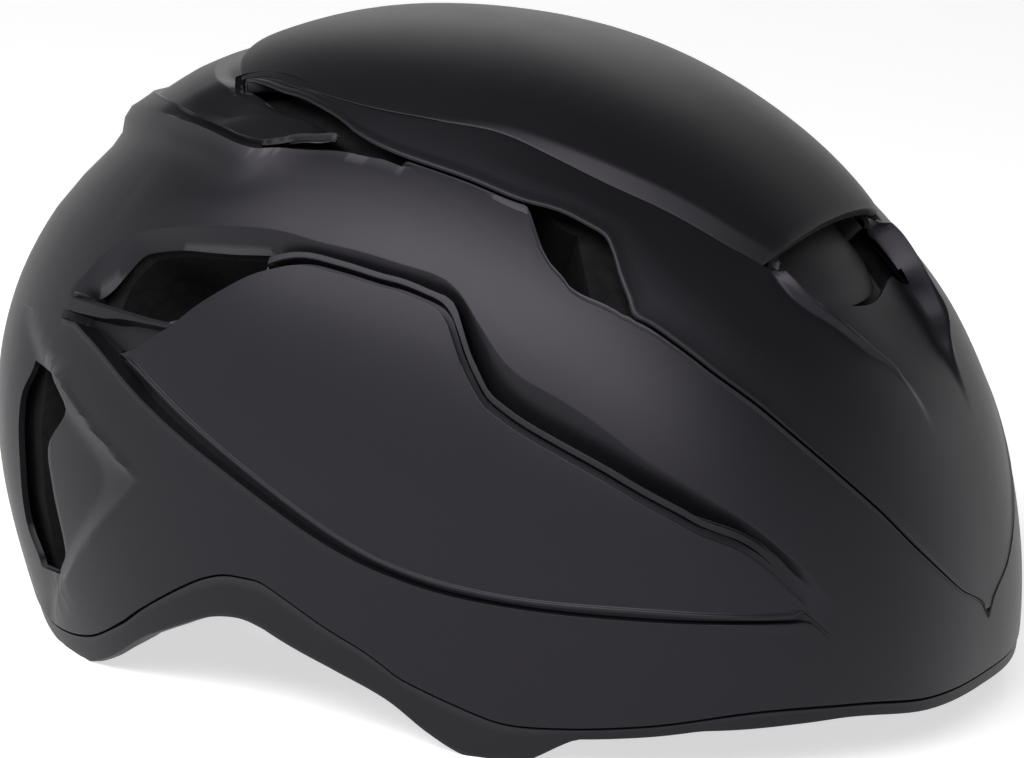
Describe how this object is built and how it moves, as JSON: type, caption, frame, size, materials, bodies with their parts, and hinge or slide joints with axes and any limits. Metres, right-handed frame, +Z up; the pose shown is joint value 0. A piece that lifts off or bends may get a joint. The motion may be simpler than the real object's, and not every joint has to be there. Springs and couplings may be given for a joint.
{
  "type": "road bike helmet",
  "caption": "Smooth matte black aero road bike helmet with recessed side vents, a vent shutter, foam liner, pads, straps and a dial fit system.",
  "frame": {"origin": "middle of the length and width, on the surface that the rim rests on", "axes": "+X towards the front of the helmet, +Y towards the wearer's left, +Z up"},
  "size_m": [0.289, 0.2092, 0.1735],
  "materials": {
    "shell_plastic": "matte black moulded shell with a fine grain",
    "cover_plastic": "matte black, a little darker than the side shells",
    "panel_plastic": "satin black side panel",
    "rim_plastic": "matte black in-mould rim",
    "foam": "black expanded foam with fused bead texture",
    "vent_plastic": "satin grey vent shutter",
    "fit_plastic": "black nylon",
    "pad_fabric": "black knitted pad cover",
    "strap_webbing": "black woven polyester webbing",
    "hook_tape": "black hook tape",
    "soft_rubber": "black soft rubber",
    "lace_cord": "dark polyester lace",
    "steel": "zinc plated screw"
  },
  "bodies": {
    "root": {"lower_shell": "shell_plastic", "crown_shell": "shell_plastic", "top_cover": "cover_plastic", "side_panel_left": "panel_plastic", "side_panel_right": "panel_plastic", "rim_band": "rim_plastic", "foam_liner_front": "foam", "foam_liner_rear_left": "foam", "foam_liner_rear_right": "foam", "vent_duct": "fit_plastic", "shutter_guides": "fit_plastic", "brow_pad": "pad_fabric", "crown_pad_left": "pad_fabric", "crown_pad_right": "pad_fabric", "side_pad_left": "pad_fabric", "side_pad_right": "pad_fabric", "rear_pad_left": "pad_fabric", "rear_pad_right": "pad_fabric", "hook_discs": "hook_tape", "strap_anchors": "fit_plastic", "front_strap_left": "strap_webbing", "front_strap_right": "strap_webbing", "rear_strap_left": "strap_webbing", "rear_strap_right": "strap_webbing", "strap_divider_left": "fit_plastic", "strap_divider_right": "fit_plastic", "chin_strap_left": "strap_webbing", "chin_strap_right": "strap_webbing", "buckle_socket": "fit_plastic", "buckle_prong": "fit_plastic", "strap_keepers": "soft_rubber", "temple_anchors": "fit_plastic"},
    "shutter": {"vent_shutter": "vent_plastic"},
    "cradle": {"fit_band_left": "fit_plastic", "fit_band_right": "fit_plastic"},
    "yoke": {"nape_yoke": "fit_plastic", "dial_housing_cap": "fit_plastic", "nape_pads": "pad_fabric", "fit_lace": "lace_cord"},
    "dial": {"dial_knob": "soft_rubber", "dial_drum": "fit_plastic", "dial_screw": "steel"}
  },
  "joints": [
    {"name": "shutter_slide", "type": "hinge", "parent": "root", "child": "shutter", "pos_m": [-0.0209, 0, 0.00394], "axis": [0, 1, 0], "range_deg": [0, 4.4]},
    {"name": "cradle_height", "type": "hinge", "parent": "root", "child": "cradle", "pos_m": [0.02704, 0, 0.033], "axis": [0, 1, 0], "range_deg": [0, 6]},
    {"name": "yoke_draw", "type": "slide", "parent": "cradle", "child": "yoke", "axis": [1, 0, 0], "range_m": [0, 0.012]},
    {"name": "dial_turn", "type": "hinge", "parent": "yoke", "child": "dial", "pos_m": [-0.09195, 0, 0.033], "axis": [1, 0, 0], "range_deg": [0, 172]}
  ],
  "couplings": [
    {"joint": "dial_turn", "follows": "yoke_draw", "rad_per_m": 250}
  ]
}
